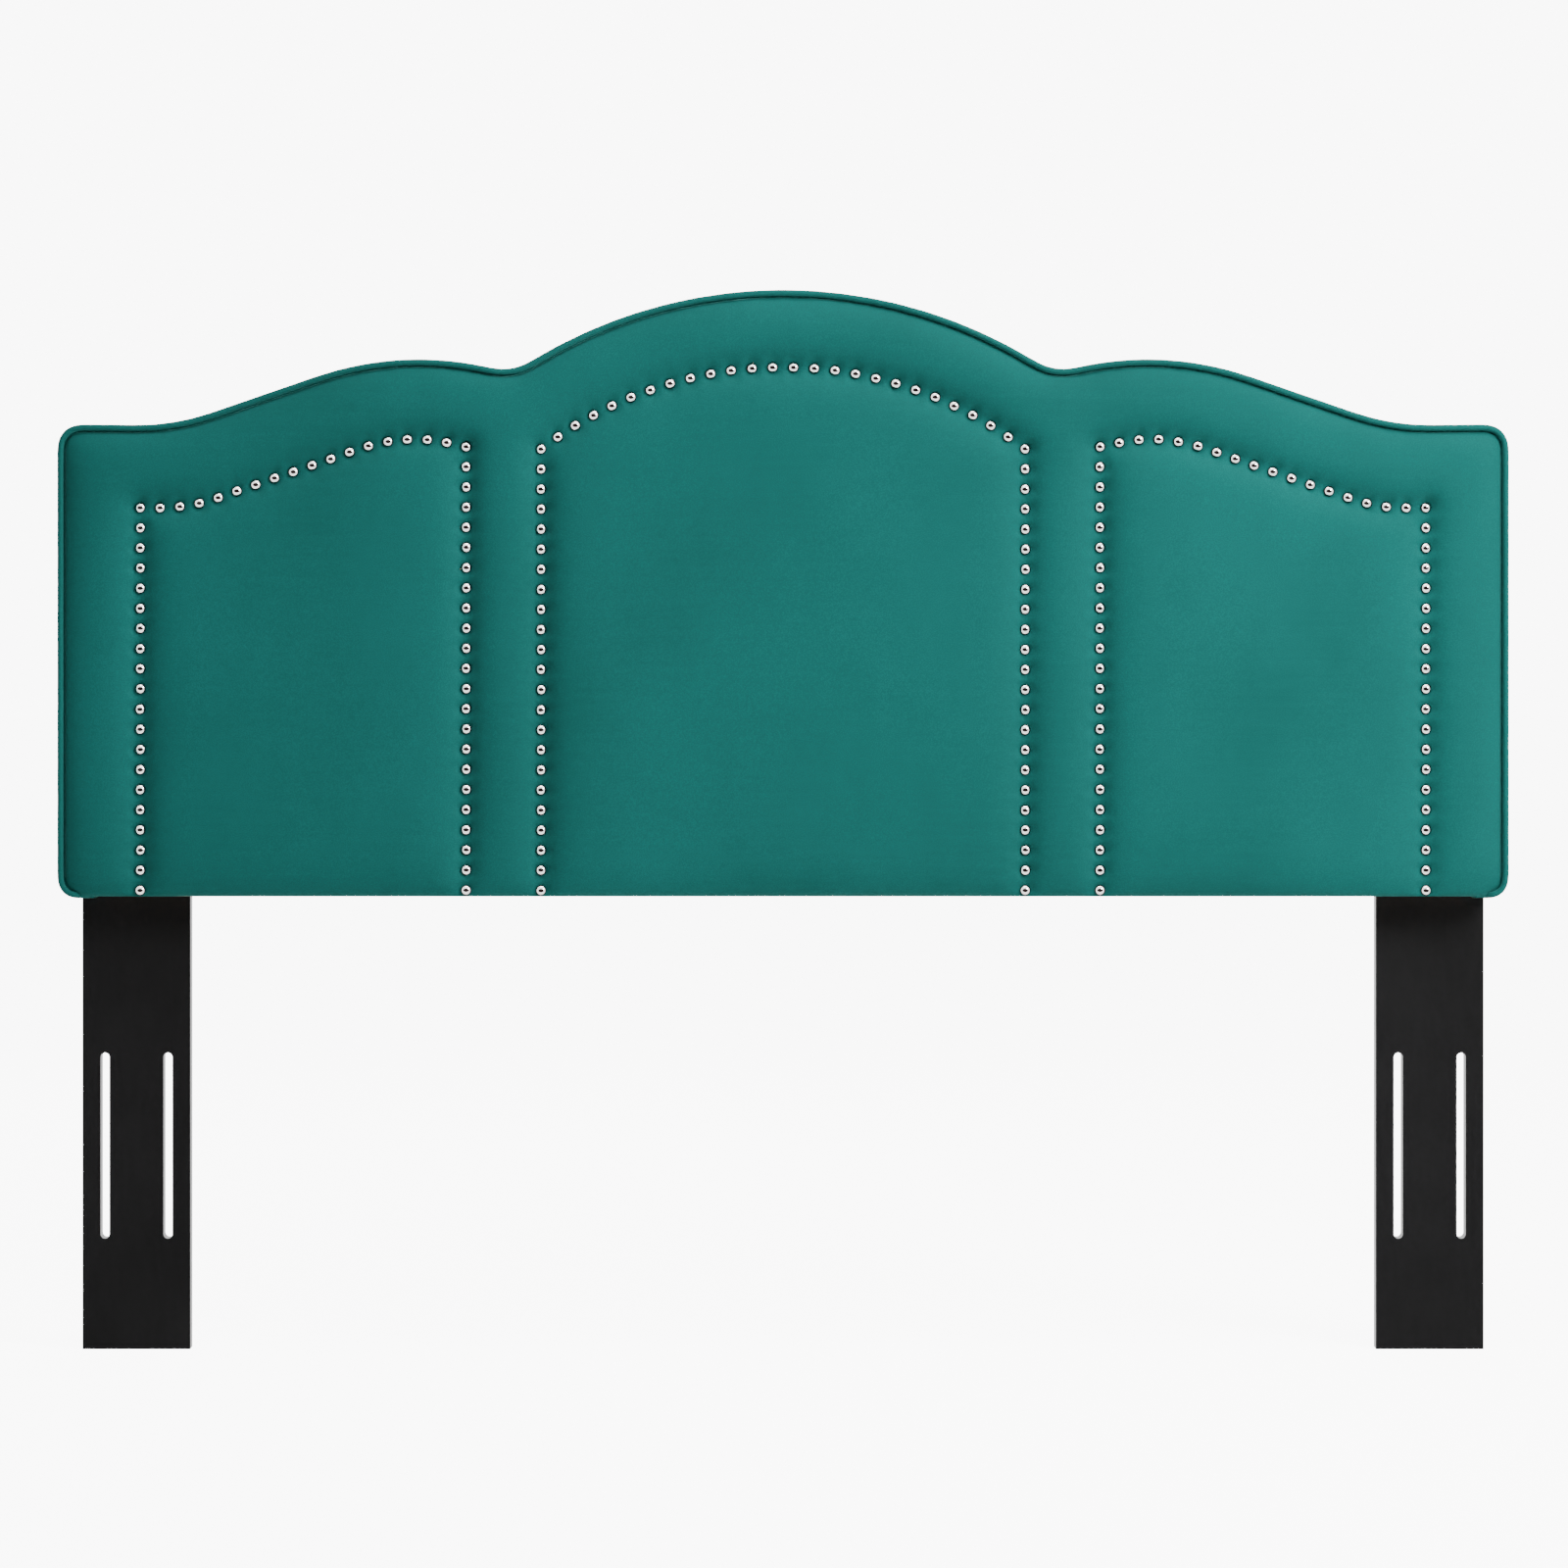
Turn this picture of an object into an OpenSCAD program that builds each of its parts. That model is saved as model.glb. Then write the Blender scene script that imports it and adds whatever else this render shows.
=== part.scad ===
// Upholstered camelback headboard: a wooden frame with a plywood face, foam,
// wadding and a velvet cover with nailhead trim, on two slotted legs.
// Millimetres. X is the width, -Y faces the room and +Z is up. The origin is on
// the floor, in the middle of the width and of the depth.

/* [Outline] */
// Width of the panel over its piping
panel_w = 1600; // [1560:10:1800]
// Height of the panel's bottom edge above the floor, at the lowest setting
panel_z = 505; // [480:5:560]
// Height of the outer shoulders above the bottom edge
shoulder_h = 523; // [500:1:540]
// Radius of the outer top corners
corner_r = 24; // [15:1:40]
// Radius of the bottom corners
foot_r = 20; // [12:1:30]
// Distance of the coves from the middle
cove_x = 671.5; // [665:0.5:680]
// Height where the runs beside a cove would meet
cove_h = 521.5; // [510:0.5:530]
// Radius of the coves
cove_r = 250; // [150:5:260]
// Distance of the side humps from the middle
hump_x = 421; // [415:1:425]
// Height where the runs beside a hump would meet
hump_h = 608; // [604:1:610]
// Radius of the side humps
hump_r = 345; // [200:5:350]
// Distance of the dips from the middle
dip_x = 299; // [296:1:302]
// Height where the runs beside a dip would meet
dip_h = 580; // [576:1:582]
// Radius of the dips
dip_r = 55; // [25:1:58]
// Height where the two sides of the crown would meet
peak_h = 761.5; // [758:0.5:770]
// Radius of the crown
crown_r = 532; // [440:4:532]

/* [Layers] */
// Thickness of the velvet
cover_t = 1.2; // [0.8:0.1:1.6]
// Thickness of the polyester wadding
wadding_t = 3; // [2:0.5:5]
// Thickness of the foam
foam_t = 20; // [18:1:30]
// Thickness of the plywood face board
board_t = 9; // [8:1:12]
// Depth of the frame's sticks
stick_t = 34; // [30:1:44]
// Face width of the frame's sticks
stick_w = 60; // [50:1:70]
// Thickness of the black dust cover
dust_t = 0.8; // [0.5:0.1:1.2]
// Outer diameter of the piping
piping_d = 6.5; // [5:0.5:8]
// Diameter of the cord inside the piping
cord_d = 4.5; // [3.5:0.5:4.5]
// Depth of the piping's seam behind the front face
seam_depth = 10; // [8:0.5:14]

/* [Nail trim] */
// Diameter of a nail head
nail_d = 11; // [9:0.5:12.5]
// Height of a nail head's dome
nail_dome = 3.8; // [2.5:0.1:4.5]
// Length of a nail's shank
nail_shank = 20; // [16:1:22]
// Distance of the outer rows from the panel's edge
border = 91; // [80:1:100]
// Distance from the middle to the inner row of a side section
inner_row_x = 349.5; // [340:0.5:360]
// Distance from the middle to the rows of the centre section
center_row_x = 267; // [255:1:280]
// Radius of the bends in a side section's top row
row_bend_r = 180; // [100:5:190]
// Height of the centre section's arch above the bottom edge
arch_h = 586; // [570:1:590]
// Radius of the centre section's arch
arch_r = 440; // [400:5:480]
// Height of the lowest nails above the bottom edge
first_nail_h = 9; // [8:1:20]
// Nails in an outer row
outer_row_nails = 20; // [10:1:24]
// Nails in an inner row
inner_row_nails = 23; // [10:1:26]
// Nails along the top of a side section
top_row_nails = 16; // [8:1:18]
// Nails along the centre section's arch
arch_nails = 24; // [10:1:28]
// Depth of the tufted channel under the nails
channel_depth = 12; // [8:1:14]
// Width of the channel
channel_w = 16; // [14:1:24]

/* [Legs] */
// Width of a leg
leg_w = 120; // [110:5:140]
// Thickness of a leg
leg_t = 22; // [18:1:28]
// Height of a leg
leg_h = 940; // [930:5:960]
// Distance from the panel's edge to the leg's outer edge
leg_inset = 20; // [10:1:30]
// Width of the slots
slot_w = 10; // [9:0.5:12]
// Distance between the two columns of slots
slot_gap = 70; // [60:1:76]
// Bottom of the slots for the bed frame's bolts
bed_slot_low = 123; // [100:1:150]
// Top of the slots for the bed frame's bolts
bed_slot_high = 330; // [300:1:380]
// Travel of the panel on its legs
travel = 200; // [50:10:210]

/* [Hardware] */
// Diameter of the leg bolts
bolt_d = 8; // [6:1:9]
// Length of the leg bolts' shank
bolt_len = 60; // [55:1:62]
// Diameter of a leg bolt's head
bolt_head_d = 15; // [13:0.5:16]
// Height of a leg bolt's head
bolt_head_h = 4.5; // [3.5:0.5:5.5]
// Height of the lower bolts above the panel's bottom edge
bolt_low = 75; // [70:5:85]
// Distance between the lower and the upper bolts
bolt_gap = 130; // [100:10:140]
// Diameter of the flat washers
washer_d = 24; // [18:1:30]
// Thickness of the flat washers
washer_t = 1.6; // [1.2:0.1:2]
// Diameter of the spring washers
spring_d = 14.8; // [13:0.1:15]
// Thickness of the spring washers
spring_t = 2; // [1.6:0.1:2.4]
// Distance between the screws that hold the face board
screw_pitch = 150; // [100:10:250]
// Distance between the staples
staple_pitch = 60; // [40:5:100]

/* [Hidden] */

$fn = 48;
// Running gap between the legs and what slides on them
gap = 0.3;
// How far a chord may stand off its true arc
chord_error = 0.25;
// Overrun of a cutting solid
over = 1;

// Layers, as depths behind the front face
wadding_d = cover_t;
foam_d = wadding_d + wadding_t;
board_d = foam_d + foam_t;
stick_d = board_d + board_t;
lip_d = stick_d + stick_t;
dust_d = lip_d + cover_t;
leg_d = dust_d + dust_t + gap;
washer_face_d = leg_d + leg_t + gap;
spring_face_d = washer_face_d + washer_t;
head_d = spring_face_d + spring_t;
depth = head_d + bolt_head_h;
// Where the cover's edge ends, behind the piping's seam
cover_edge_d = channel_depth + cover_t;
// The front and the back of the piping
piping_front_d = seam_depth - piping_d / 2;
piping_back_d = seam_depth + piping_d / 2;

// Insets from the outline: the boxing stands behind the piping, the cover inside it
boxing_inset = 1;
frame_inset = boxing_inset + cover_t;
cover_inset = piping_d;
pad_inset = cover_inset + cover_t;
inner_inset = frame_inset + stick_w;

// Hems: the boxing turns under the bottom corners, and both skins turn onto the back
boxing_turn = 40;
lip_w = 25;
dust_inset = 12;

half_w = panel_w / 2;
leg_x = half_w - leg_inset - leg_w / 2;
slot_low = panel_z + bolt_low;
leg_stile_w = 83;
leg_stile_x = half_w - inner_inset - leg_stile_w;
column_low = -30;

// Small hardware
staple_crown = 10;
staple_leg = 8;
staple_wire = 0.7;
screw_len = 30;
screw_head_d = 8;
screw_d = 4;
tee_flange_d = 20;
tee_flange_t = 1.5;
tee_barrel_d = 10;
tee_barrel_len = 14;
tee_prong = [1.2, 6, 3];
hex_key = 5;
hex_key_depth = 3;
block_leg = 70;
piping_sides = 8;

// ---- Plane geometry: a corner is [x, z, radius], and outlines run anticlockwise ----

function flat(c) = [c[0], c[1]];
function unit(v) = v / norm(v);
function turned(v, a) = [v[0] * cos(a) - v[1] * sin(a), v[0] * sin(a) + v[1] * cos(a)];
function arc_steps(r, turn) = max(2, ceil(abs(turn) / (2 * acos(1 - chord_error / r))));

// Points of corner b, rounded, on the way from a to c
function rounded(a, b, c) =
    let (u = unit(flat(a) - flat(b)))
    let (w = unit(flat(c) - flat(b)))
    let (half = acos(u * w) / 2)
    let (centre = flat(b) + unit(u + w) * b[2] / sin(half))
    let (spoke = flat(b) + u * b[2] / tan(half) - centre)
    let (turn = sign(cross(-u, w)) * (180 - 2 * half))
    let (steps = arc_steps(max(b[2], over), turn))
    b[2] == 0 ? [flat(b)] : [for (k = [0 : steps]) centre + turned(spoke, turn * k / steps)];

// Corner b of the parallel outline d further in
function inset_corner(a, b, c, d) =
    let (u = unit(flat(a) - flat(b)))
    let (w = unit(flat(c) - flat(b)))
    let (bend = sign(cross(-u, w)))
    let (moved = flat(b) + bend * unit(u + w) * d / sin(acos(u * w) / 2))
    [moved[0], moved[1], max(b[2] - bend * d, 0)];

function wrapped(c, i) = c[(i + len(c)) % len(c)];
function inset(c, d) =
    [for (i = [0 : len(c) - 1]) inset_corner(wrapped(c, i - 1), c[i], wrapped(c, i + 1), d)];
function closed_points(c) =
    [for (i = [0 : len(c) - 1]) each rounded(wrapped(c, i - 1), c[i], wrapped(c, i + 1))];
function open_points(c) = concat(
    [flat(c[0])],
    [for (i = [1 : len(c) - 2]) each rounded(c[i - 1], c[i], c[i + 1])],
    [flat(c[len(c) - 1])]
);
function mirrored(c) = [for (i = [len(c) - 1 : -1 : 0]) [-c[i][0], c[i][1], c[i][2]]];

function panel_corners(foot) =
    let (right = [
        [half_w, foot, foot_r],
        [half_w, shoulder_h, corner_r],
        [cove_x, cove_h, cove_r],
        [hump_x, hump_h, hump_r],
        [dip_x, dip_h, dip_r]
    ])
    concat(right, [[0, peak_h, crown_r]], mirrored(right));

// Corners of the panel's outline, d further in, with its bottom edge at height foot
function panel_inset(d, foot) = inset(panel_corners(foot - d), d);
function panel_points(d, foot) = closed_points(panel_inset(d, foot));

// The region under the top edge's parallel, d further in, wider than the panel
function below_top_points(d) =
    let (c = panel_inset(d, 0))
    let (far = half_w + over)
    let (top = [for (i = [2 : len(c) - 3]) c[i]])
    concat(
        [[far, -over]],
        open_points(concat([[far, c[1][1], 0]], top, [[-far, c[1][1], 0]])),
        [[-far, -over]]
    );

// ---- Nail rows ----

function row_length(p) = len(p) < 2 ? 0 : norm(p[1] - p[0]) + row_length([for (i = [1 : len(p) - 1]) p[i]]);
function walk(p, s, i = 0) =
    let (step = norm(p[i + 1] - p[i]))
    s <= step || i == len(p) - 2 ? p[i] + (p[i + 1] - p[i]) * s / step : walk(p, s - step, i + 1);
// n points evenly between a row's two ends, which are left out
function between(p, n) =
    let (whole = row_length(p))
    [for (k = [1 : n]) walk(p, whole * k / (n + 1))];
// n points up a column, the last of them at its top
function column(x, top, n) =
    [for (k = [0 : n - 1]) [x, first_nail_h + (top - first_nail_h) * k / (n - 1)]];

// The right section's path: up the outer row, along the top and down the inner row
function side_path_corners() =
    let (c = panel_inset(border, 0))
    let (hump = c[3])
    let (dip = c[4])
    let (end_h = hump[1] + (dip[1] - hump[1]) * (inner_row_x - hump[0]) / (dip[0] - hump[0]))
    [
        [c[1][0], column_low, 0],
        [c[1][0], c[1][1], 0],
        [c[2][0], c[2][1], row_bend_r],
        [hump[0], hump[1], row_bend_r],
        [inner_row_x, end_h, 0],
        [inner_row_x, column_low, 0]
    ];

function outer_row() =
    let (c = side_path_corners())
    column(c[1][0], c[1][1], outer_row_nails);
function top_row() =
    let (c = side_path_corners())
    between(open_points([c[1], c[2], c[3], c[4]]), top_row_nails);
function inner_row() =
    let (c = side_path_corners())
    column(c[4][0], c[4][1], inner_row_nails);

arch_z = arch_h - arch_r;
function arch_half_angle(d) = asin((center_row_x + d) / (arch_r + d));
function arch_points(d) =
    let (half = arch_half_angle(d))
    let (steps = arc_steps(arch_r, 2 * half))
    [for (k = [0 : steps])
        let (a = half - 2 * half * k / steps)
        [(arch_r + d) * sin(a), arch_z + (arch_r + d) * cos(a)]];
// The centre section's outline, d further out
function center_section(d) =
    concat([[center_row_x + d, column_low]], arch_points(d), [[-center_row_x - d, column_low]]);

function center_row(side) = column(side * center_row_x, arch_points(0)[0][1], inner_row_nails);
function arch_row() = between(arch_points(0), arch_nails);

// ---- Solids from plane shapes ----

// A plane shape as a slab between two depths, standing at the panel's height
module slab(from, to) translate([0, to - depth / 2, panel_z])
    rotate([90, 0, 0])
        linear_extrude(height = to - from) children();

// A rod along Y between two depths, at height z above the floor
module rod(x, z, d, from, to, fn = 48) translate([x, to - depth / 2, z])
    rotate([90, 0, 0]) cylinder(d = d, h = to - from, $fn = fn);

// A box between two depths, at height z above the floor
module block(x0, x1, z0, z1, from, to)
    translate([x0, from - depth / 2, z0]) cube([x1 - x0, to - from, z1 - z0]);

module panel_slab(d, foot, from, to) slab(from, to) polygon(panel_points(d, foot));
// A tall block from x0 to x1 on one side of the middle, from height z0 up
module side_block(side, x0, x1, z0, from, to)
    block(min(side * x0, side * x1), max(side * x0, side * x1), z0, panel_z + peak_h, from, to);

module mid_block(half_x, z0, z1, from, to) block(-half_x, half_x, panel_z + z0, panel_z + z1, from, to);

// The channel along the nail rows, d wider on each side of its middle line
module channels(d, from, to) {
    w = channel_w / 2 + d;
    side = side_path_corners();
    outer = inset(side, -w);
    inner = inset(side, w);
    for (s = [0, 1]) mirror([s, 0, 0]) difference() {
        slab(from, to) polygon(open_points(outer));
        slab(from - over, to + over) polygon(open_points(inner));
    }
    difference() {
        slab(from, to) polygon(center_section(w));
        slab(from - over, to + over) polygon(center_section(-w));
    }
}

// ---- Legs ----

module slot(x, low, high) {
    r = slot_w / 2;
    for (z = [low + r, high - r]) rod(x, z, slot_w, leg_d - over, leg_d + leg_t + over);
    block(x - r, x + r, low + r, high - r, leg_d - over, leg_d + leg_t + over);
}

module leg(side) color("#262626") difference() {
    block(side * leg_x - leg_w / 2, side * leg_x + leg_w / 2, 0, leg_h, leg_d, leg_d + leg_t);
    for (column = [-1, 1]) {
        x = side * leg_x + column * slot_gap / 2;
        slot(x, bed_slot_low, bed_slot_high);
        slot(x, slot_low - slot_w / 2 - gap, slot_low + bolt_gap + travel + slot_w / 2 + gap);
    }
}

// ---- Frame ----

// Where the leg bolts pass, on one side
function bolt_places(side) =
    [for (column = [-1, 1], row = [0, 1])
        [side * leg_x + column * slot_gap / 2, panel_z + bolt_low + row * bolt_gap]];

module bolt_holes() for (side = [-1, 1], p = bolt_places(side)) {
    rod(p[0], p[1], tee_barrel_d, stick_d - over, dust_d);
    rod(p[0], p[1], tee_flange_d, stick_d - over, stick_d + tee_flange_t);
}

module face_board() color("tan") panel_slab(frame_inset, frame_inset, board_d, stick_d);

module bottom_rail() color("burlywood")
    mid_block(half_w - inner_inset, frame_inset, inner_inset, stick_d, lip_d);

module side_rail(side) color("burlywood") difference() {
    intersection() {
        panel_slab(frame_inset, frame_inset, stick_d, lip_d);
        slab(stick_d - over, lip_d + over) polygon(below_top_points(inner_inset));
        side_block(side, half_w - inner_inset, half_w, panel_z, stick_d - over, lip_d + over);
    }
    bolt_holes();
}

// The band under the top edge, from x0 to x1
module top_rail(x0, x1) color("burlywood") difference() {
    intersection() {
        panel_slab(frame_inset, frame_inset, stick_d, lip_d);
        block(x0, x1, panel_z, panel_z + peak_h, stick_d - over, lip_d + over);
    }
    slab(stick_d - over, lip_d + over) polygon(below_top_points(inner_inset));
}

// An upright between the bottom rail and the top rails
module stile(side, x0, x1) color("burlywood") difference() {
    intersection() {
        side_block(side, x0, x1, panel_z + inner_inset, stick_d, lip_d);
        slab(stick_d - over, lip_d + over) polygon(below_top_points(inner_inset));
    }
    bolt_holes();
}

// Glued triangular blocks in the bottom corners of the three bays
module corner_blocks() color("peru") for (s = [0, 1]) mirror([s, 0, 0]) {
    for (place = [[leg_stile_x, -1], [dip_x + stick_w / 2, 1], [dip_x - stick_w / 2, -1]])
        slab(stick_d, lip_d) polygon([
            [place[0], inner_inset],
            [place[0] + place[1] * block_leg, inner_inset],
            [place[0], inner_inset + block_leg]
        ]);
}

// Countersunk screws through the face board, along the middle of the rails
module board_screw(p) {
    cone = (screw_head_d - screw_d) / 2;
    translate([p[0], board_d - depth / 2, panel_z + p[1]]) rotate([-90, 0, 0]) rotate_extrude($fn = 24)
        polygon([
            [0, 0],
            [screw_head_d / 2, 0],
            [screw_d / 2, cone],
            [screw_d / 2, screw_len - screw_d],
            [0, screw_len]
        ]);
}

module board_screws() color("goldenrod") {
    c = panel_inset(frame_inset + stick_w / 2, frame_inset + stick_w / 2);
    loop = closed_points(c);
    ring = concat(loop, [loop[0]]);
    for (p = between(ring, round(row_length(ring) / screw_pitch))) board_screw(p);
}

// ---- Padding and covers ----

// Room for the two ends of the piping, turned under the bottom corners
module piping_ends() for (s = [0, 1]) mirror([s, 0, 0]) difference() {
    block(half_w - boxing_turn - gap, half_w, panel_z - over, panel_z + foot_r + over,
        piping_front_d - gap, piping_back_d);
    panel_slab(cover_inset, cover_inset, piping_front_d - over, piping_back_d + over);
}

module foam_pad() color("#f3e7b3") difference() {
    union() {
        panel_slab(pad_inset, frame_inset, foam_d, piping_back_d);
        panel_slab(frame_inset, frame_inset, piping_back_d, board_d);
    }
    channels(cover_t, 0, channel_depth + cover_t);
    piping_ends();
}

module wadding() color("whitesmoke") difference() {
    panel_slab(pad_inset, frame_inset, wadding_d, foam_d);
    channels(cover_t, 0, channel_depth);
}

// The velvet face, lining the channels, and its hem under the bottom edge
module front_cover() color("#2b8580") {
    difference() {
        panel_slab(cover_inset, boxing_inset, 0, cover_edge_d);
        difference() {
            panel_slab(pad_inset, frame_inset, cover_t, cover_edge_d + over);
            channels(cover_t, 0, cover_edge_d + 2 * over);
        }
        channels(0, -over, channel_depth);
        piping_ends();
    }
    mid_block(half_w - boxing_turn, boxing_inset, frame_inset, cover_edge_d, dust_d);
    mid_block(half_w - boxing_turn, boxing_inset, lip_w, lip_d, dust_d);
}

// The side strip behind the piping, with its hem on the back of the frame
module boxing_band() color("#1f6b67") difference() {
    panel_slab(boxing_inset, boxing_inset, piping_back_d, dust_d);
    panel_slab(frame_inset, frame_inset, piping_back_d - over, lip_d);
    panel_slab(lip_w, lip_w, lip_d - over, dust_d + over);
    mid_block(half_w - boxing_turn, -over, frame_inset, piping_back_d - over, dust_d + over);
    mid_block(half_w - boxing_turn, -over, lip_w + over, lip_d - over, dust_d + over);
}

// The piping's middle line, from one bottom corner over the top to the other
function piping_line() =
    let (c = panel_inset(piping_d / 2, piping_d / 2))
    let (tail = half_w - boxing_turn)
    open_points(concat([[tail, c[0][1], 0]], c, [[-tail, c[0][1], 0]]));

function heading(p, i) = unit(p[min(i + 1, len(p) - 1)] - p[max(i - 1, 0)]);
function piping_ring(p, i, r) =
    let (t = heading(p, i))
    [for (k = [0 : piping_sides - 1])
        let (a = 360 * k / piping_sides)
        [p[i][0] + r * cos(a) * t[1], r * sin(a), p[i][1] - r * cos(a) * t[0]]];

// A strip along the piping's line: round at radius r, and hollow to radius bore where bore isn't 0
module piping_sweep(r, bore = 0) {
    p = piping_line();
    n = piping_sides;
    last = len(p) - 1;
    inside = n * len(p);
    outer = [for (i = [0 : last - 1], k = [0 : n - 1])
        [i * n + k, i * n + (k + 1) % n, (i + 1) * n + (k + 1) % n, (i + 1) * n + k]];
    inner = [for (q = outer) [for (j = [3 : -1 : 0]) q[j] + inside]];
    discs = [[for (k = [0 : n - 1]) n - 1 - k], [for (k = [0 : n - 1]) last * n + k]];
    rims = [for (i = [0, last], k = [0 : n - 1])
        let (a = i * n + k, b = i * n + (k + 1) % n)
        i == 0 ? [b, a, a + inside, b + inside] : [a, b, b + inside, a + inside]];
    translate([0, seam_depth - depth / 2, panel_z]) polyhedron(
        points = concat(
            [for (i = [0 : last]) each piping_ring(p, i, r)],
            bore == 0 ? [] : [for (i = [0 : last]) each piping_ring(p, i, bore)]
        ),
        faces = bore == 0 ? concat(outer, discs) : concat(outer, inner, rims)
    );
}

module piping_cover() color("#3b9a94") piping_sweep(piping_d / 2, cord_d / 2);

module piping_cord() color("ivory") piping_sweep(cord_d / 2);

module dust_cover() color("#1c1c1c") difference() {
    panel_slab(dust_inset, dust_inset, dust_d, dust_d + dust_t);
    for (side = [-1, 1], p = bolt_places(side)) rod(p[0], p[1], bolt_d + 2 * gap, dust_d - over, leg_d);
}

// A staple whose crown is flush with depth at and points along the row
module staple(p, along, at) {
    translate([p[0], at - depth / 2, panel_z + p[1]]) rotate([0, -atan2(along[1], along[0]), 0]) {
        translate([-staple_crown / 2, -staple_wire, -staple_wire / 2])
            cube([staple_crown, staple_wire, staple_wire]);
        for (end = [-1, 1])
            translate([end * (staple_crown - staple_wire) / 2 - staple_wire / 2, -staple_leg, -staple_wire / 2])
                cube([staple_wire, staple_leg, staple_wire]);
    }
}

// Staples around the back, at one inset, flush with depth at
module staple_ring(d, at) {
    loop = closed_points(panel_inset(d, d));
    ring = concat(loop, [loop[0]]);
    whole = row_length(ring);
    n = round(whole / staple_pitch);
    for (k = [0 : n - 1]) {
        p = walk(ring, whole * (k + 0.5) / n);
        staple(p, walk(ring, whole * (k + 0.5) / n + over) - p, at);
    }
}

module cover_staples() color("silver") staple_ring((dust_inset - boxing_inset) / 2 + boxing_inset, dust_d);
module dust_cover_staples() color("gainsboro") staple_ring(lip_w - staple_leg / 2, dust_d + dust_t);

// ---- Nails ----

module nail() {
    shank_r = 0.9;
    cap_r = (nail_d * nail_d / 4 + nail_dome * nail_dome) / (2 * nail_dome);
    edge = asin(nail_d / 2 / cap_r);
    rim = nail_dome > nail_d / 2 ? 180 - edge : edge;
    rings = 4;
    rotate_extrude($fn = 24) polygon(concat(
        [[0, -nail_shank], [shank_r, -nail_shank + 3 * shank_r], [shank_r, 0]],
        [for (k = [0 : rings])
            let (a = rim * (1 - k / rings))
            [cap_r * sin(a), nail_dome - cap_r + cap_r * cos(a)]]
    ));
}

module nail_row(places) color("silver") for (p = places)
    translate([p[0], channel_depth - depth / 2, panel_z + p[1]]) rotate([90, 0, 0]) nail();

module side_row(side, places) nail_row([for (p = places) [side * p[0], p[1]]]);

// ---- Leg hardware ----

module leg_bolts(side) color("#8a8d90") for (p = bolt_places(side)) difference() {
    union() {
        rod(p[0], p[1], bolt_d, head_d - bolt_len, head_d);
        rod(p[0], p[1], bolt_head_d, head_d, depth);
    }
    rod(p[0], p[1], hex_key / cos(30), depth - hex_key_depth, depth + over, 6);
}

module washer(p, d, from, to) difference() {
    rod(p[0], p[1], d, from, to);
    rod(p[0], p[1], bolt_d + 2 * gap, from - over, to + over);
}

module spring_washers(side) color("#6e7174") for (p = bolt_places(side))
    washer(p, spring_d, spring_face_d, head_d);

module flat_washers(side) color("#a5a8ab") for (p = bolt_places(side))
    washer(p, washer_d, washer_face_d, spring_face_d);

module tee_nuts(side) color("#b5b08f") for (p = bolt_places(side)) difference() {
    union() {
        rod(p[0], p[1], tee_flange_d, stick_d, stick_d + tee_flange_t);
        rod(p[0], p[1], tee_barrel_d, stick_d, stick_d + tee_barrel_len);
        for (turn = [0 : 90 : 270])
            translate([p[0], stick_d + tee_flange_t - depth / 2, p[1]]) rotate([0, turn, 0])
                translate([tee_flange_d / 2 - tee_prong[0], -over / 2, -tee_prong[2] / 2])
                    cube([tee_prong[0], tee_prong[1] + over / 2, tee_prong[2]]);
    }
    rod(p[0], p[1], bolt_d, stick_d - over, stick_d + tee_barrel_len + over);
}

leg(-1);  // leg_left
leg(1);  // leg_right
face_board();
bottom_rail();
side_rail(-1);  // side_rail_left
side_rail(1);  // side_rail_right
top_rail(-half_w, -dip_x);  // top_rail_left
top_rail(-dip_x, dip_x);  // top_rail_center
top_rail(dip_x, half_w);  // top_rail_right
stile(-1, leg_stile_x, half_w - inner_inset);  // leg_stile_left
stile(1, leg_stile_x, half_w - inner_inset);  // leg_stile_right
stile(-1, dip_x - stick_w / 2, dip_x + stick_w / 2);  // center_stile_left
stile(1, dip_x - stick_w / 2, dip_x + stick_w / 2);  // center_stile_right
corner_blocks();
board_screws();
foam_pad();
wadding();
front_cover();
boxing_band();
piping_cover();
piping_cord();
cover_staples();
dust_cover();
dust_cover_staples();
side_row(-1, outer_row());  // nails_left_outer
side_row(-1, top_row());  // nails_left_top
side_row(-1, inner_row());  // nails_left_inner
side_row(1, outer_row());  // nails_right_outer
side_row(1, top_row());  // nails_right_top
side_row(1, inner_row());  // nails_right_inner
nail_row(center_row(-1));  // nails_center_left
nail_row(arch_row());  // nails_center_arch
nail_row(center_row(1));  // nails_center_right
leg_bolts(-1);  // leg_bolts_left
leg_bolts(1);  // leg_bolts_right
spring_washers(-1);  // spring_washers_left
spring_washers(1);  // spring_washers_right
flat_washers(-1);  // flat_washers_left
flat_washers(1);  // flat_washers_right
tee_nuts(-1);  // tee_nuts_left
tee_nuts(1);  // tee_nuts_right
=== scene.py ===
"""The looks of an upholstered camelback headboard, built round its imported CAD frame."""
import math

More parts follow.
